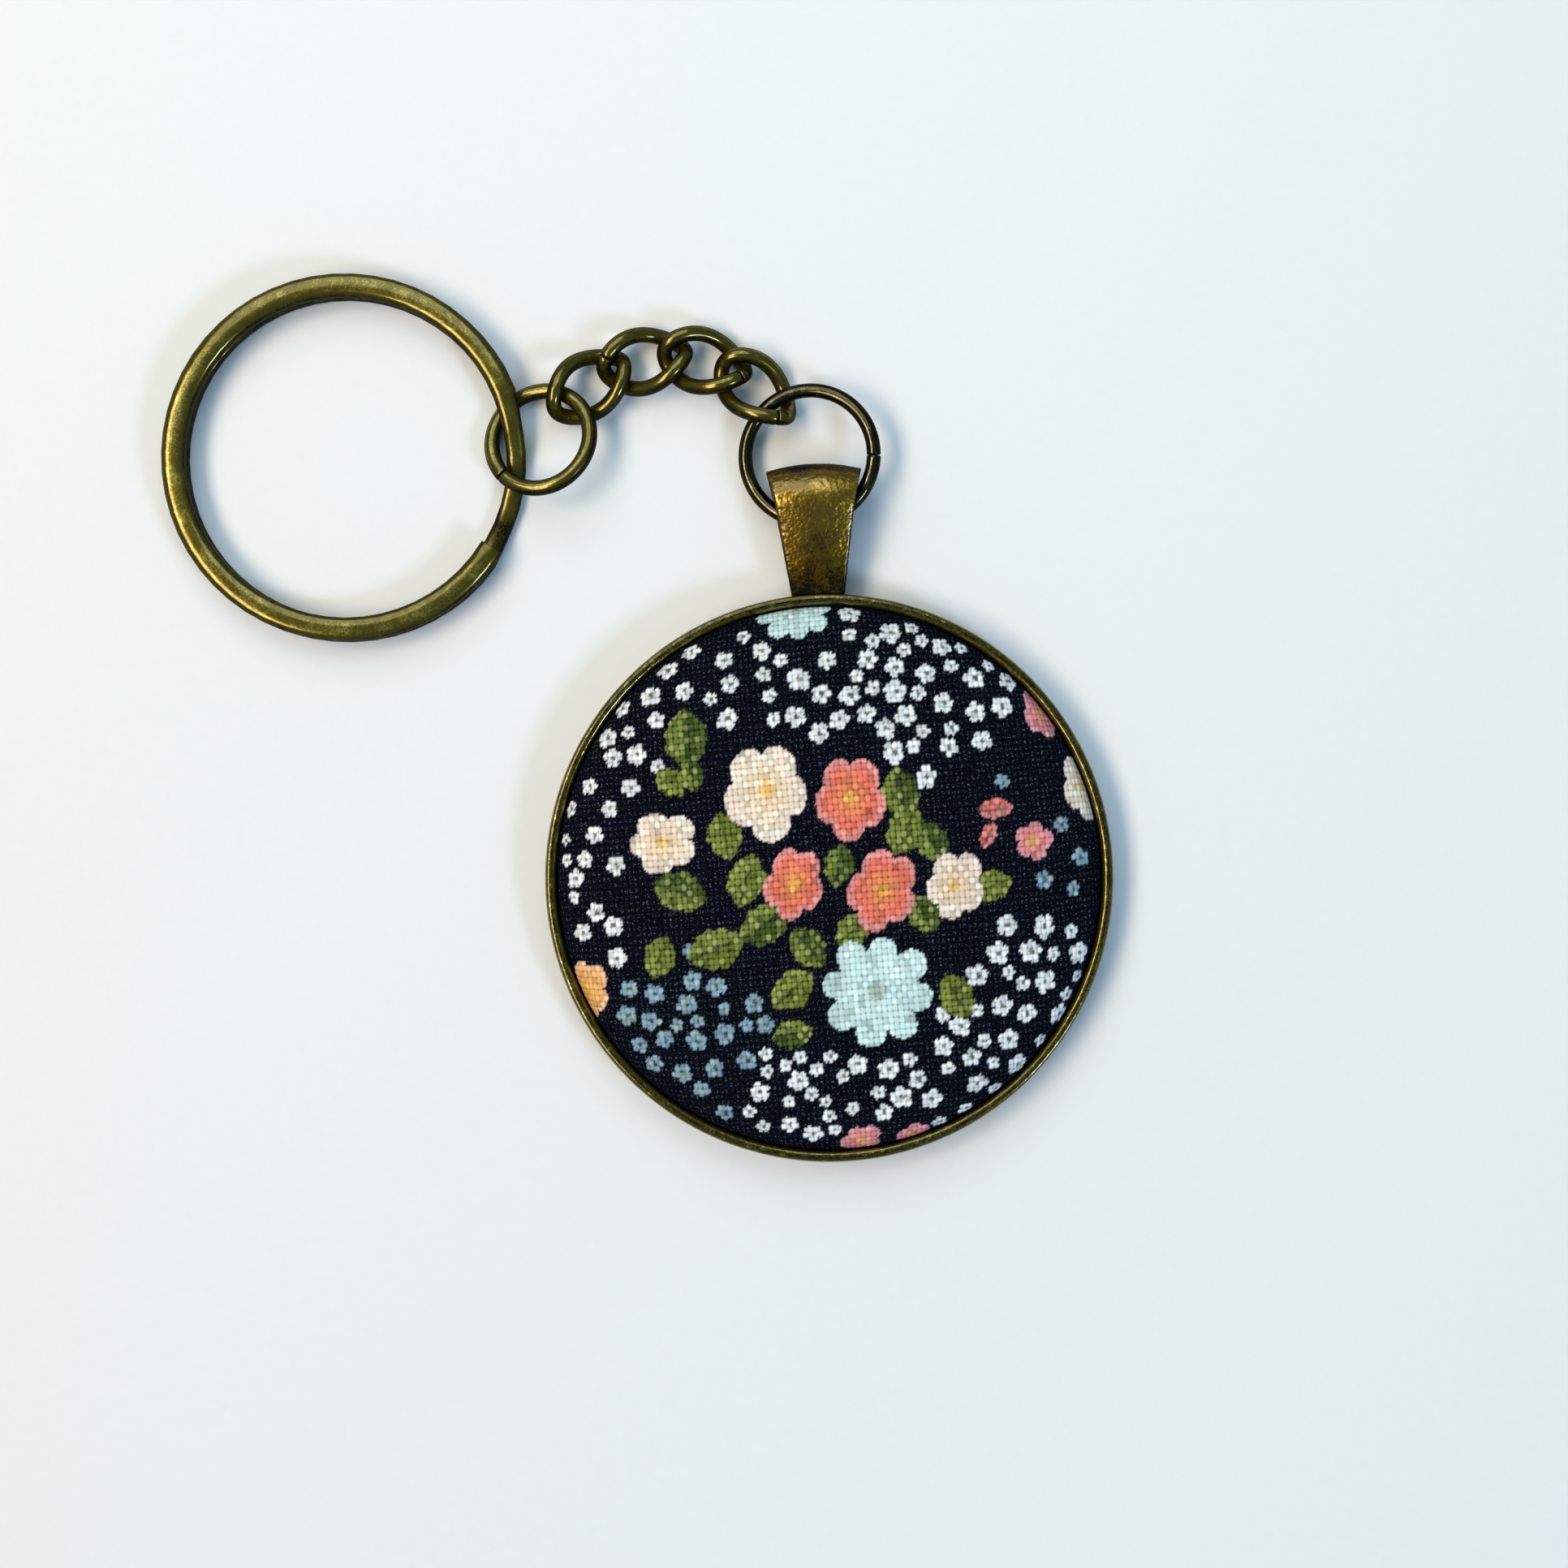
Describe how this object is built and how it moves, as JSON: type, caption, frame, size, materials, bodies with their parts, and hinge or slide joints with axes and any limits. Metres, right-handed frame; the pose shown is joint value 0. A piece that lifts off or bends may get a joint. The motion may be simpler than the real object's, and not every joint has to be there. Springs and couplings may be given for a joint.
{
  "type": "keychain",
  "caption": "Keychain: a split key ring, jump rings and a short curb chain joined by a tapered bail to a round bezel tray with a domed fabric-covered button.",
  "frame": {"origin": "centre of the tray's flat back face, on the surface it rests on", "axes": "+Z out of the tray through the button's crown, +Y from the tray's centre up through the bail, +X to the right seen from the front"},
  "size_m": [0.066, 0.064, 0.0062],
  "materials": {
    "antique_bronze": "polished antique bronze plate, worn bright along the edges",
    "dark_bronze": "dark antique bronze plate with bright highlights",
    "hammered_bronze": "finely hammered antique bronze",
    "tray_bronze": "cast antique bronze, mottled",
    "clear_glue": "cured clear glue",
    "button_metal": "plain pressed aluminium",
    "printed_cotton": "plain-weave cotton with a small floral print"
  },
  "bodies": {
    "pendant": {"bezel_tray": "tray_bronze", "bail": "hammered_bronze", "glue_pad": "clear_glue", "button_back": "button_metal", "button_shell": "button_metal", "fabric_cover": "printed_cotton"},
    "large_ring": {"large_jump_ring": "dark_bronze"},
    "link_4": {"chain_link_4": "antique_bronze"},
    "link_3": {"chain_link_3": "antique_bronze"},
    "link_2": {"chain_link_2": "antique_bronze"},
    "link_1": {"chain_link_1": "antique_bronze"},
    "small_ring": {"small_jump_ring": "antique_bronze"},
    "key_ring": {"split_ring": "antique_bronze"}
  },
  "joints": [
    {"name": "ring_in_bail", "type": "hinge", "parent": "pendant", "child": "large_ring", "pos_m": [0, 0.0258, 0.0023], "axis": [1, 0, 0], "range_deg": [-40, 100]},
    {"name": "link_4_swing", "type": "hinge", "parent": "large_ring", "child": "link_4", "pos_m": [-0.003, 0.0335, 0.0015], "axis": [0.6686, 0.5688, 0.479], "range_deg": [-40, 40]},
    {"name": "link_3_swing", "type": "hinge", "parent": "link_4", "child": "link_3", "pos_m": [-0.0055, 0.0368, 0.0016], "axis": [0.09, 0.6197, 0.7796], "range_deg": [-25, 10]},
    {"name": "link_2_swing", "type": "hinge", "parent": "link_3", "child": "link_2", "pos_m": [-0.0102, 0.038, 0.0019], "axis": [0.3297, -0.5995, -0.7293], "range_deg": [-20, 15]},
    {"name": "link_1_swing", "type": "hinge", "parent": "link_2", "child": "link_1", "pos_m": [-0.0145, 0.0368, 0.0018], "axis": [-0.4506, 0.3505, 0.8211], "range_deg": [-20, 20]},
    {"name": "small_ring_swing", "type": "hinge", "parent": "link_1", "child": "small_ring", "pos_m": [-0.0183, 0.0329, 0.0016], "axis": [0.1793, -0.269, -0.9463], "range_deg": [-25, 40]},
    {"name": "key_ring_swing", "type": "hinge", "parent": "small_ring", "child": "key_ring", "pos_m": [-0.0211, 0.0322, 0.0013], "axis": [-0.1502, 0.8211, 0.5507], "range_deg": [-60, 40]}
  ]
}
